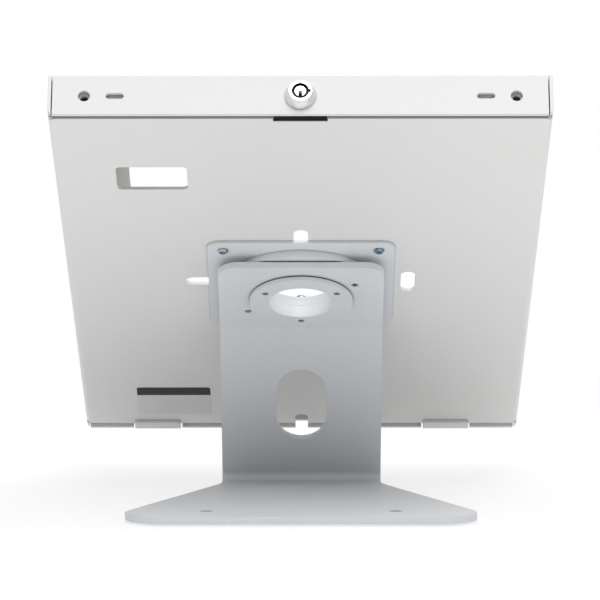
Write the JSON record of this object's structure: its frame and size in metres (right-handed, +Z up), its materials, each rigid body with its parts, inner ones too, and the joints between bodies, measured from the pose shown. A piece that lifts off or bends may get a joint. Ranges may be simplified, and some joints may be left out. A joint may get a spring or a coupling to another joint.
{
  "type": "tablet security kiosk stand",
  "caption": "desk stand of bent steel plate with a swivelling, lockable sheet-metal tablet enclosure, hinged framed front and cable openings",
  "frame": {"origin": "centre of the bounding box's underside, on the surface that the feet stand on", "axes": "+Z up; the user sits on the +Y side; -Y is the back, where the base is widest; +X is on the right seen from the back"},
  "size_m": [0.2272, 0.3081, 0.2115],
  "materials": {
    "silver_paint": "fine textured powder coat, light silver grey",
    "white_paint": "fine textured powder coat, white",
    "black_rubber": "matte black rubber",
    "zinc": "bright zinc plate with a bluish tint",
    "nickel": "bright nickel plate",
    "slide_plastic": "dark low-friction plastic",
    "black_plastic": "moulded black plastic, fine grain",
    "black_oxide": "black oxide on steel, lightly oiled",
    "foam": "closed-cell foam, charcoal",
    "label": "plain satin film"
  },
  "bodies": {
    "stand": {"stand_plate": "silver_paint", "foot_1": "black_rubber", "foot_2": "black_rubber", "foot_3": "black_rubber", "foot_4": "black_rubber", "grub_screw": "zinc"},
    "enclosure": {"spacer_ring": "silver_paint", "inner_washer": "slide_plastic", "outer_washer": "slide_plastic", "retainer_bush": "silver_paint", "retainer_screws": "zinc", "vesa_plate": "silver_paint", "vesa_screws": "zinc", "rear_tray": "white_paint", "keeper_bracket": "white_paint", "foam_corner_1": "foam", "foam_corner_2": "foam", "foam_corner_3": "foam", "foam_corner_4": "foam", "blank_label": "label"},
    "cover": {"front_cover": "white_paint", "lock_body": "nickel", "lock_guard": "black_plastic", "lock_washer": "black_oxide", "lock_nut": "black_oxide"},
    "lock_core": {"lock_barrel": "nickel", "lock_cam": "zinc", "cam_screw": "zinc"}
  },
  "joints": [
    {"name": "swivel", "type": "hinge", "parent": "stand", "child": "enclosure", "pos_m": [0, -0.00408, 0.10939], "axis": [0, -0.5, -0.866], "continuous": true},
    {"name": "cover_hinge", "type": "hinge", "parent": "enclosure", "child": "cover", "pos_m": [0, 0.13685, 0.02768], "axis": [-1, 0, 0], "range_deg": [0, 90]},
    {"name": "lock_turn", "type": "hinge", "parent": "cover", "child": "lock_core", "pos_m": [0, -0.14706, 0.20233], "axis": [0, -0.866, 0.5], "range_deg": [0, 90]}
  ]
}
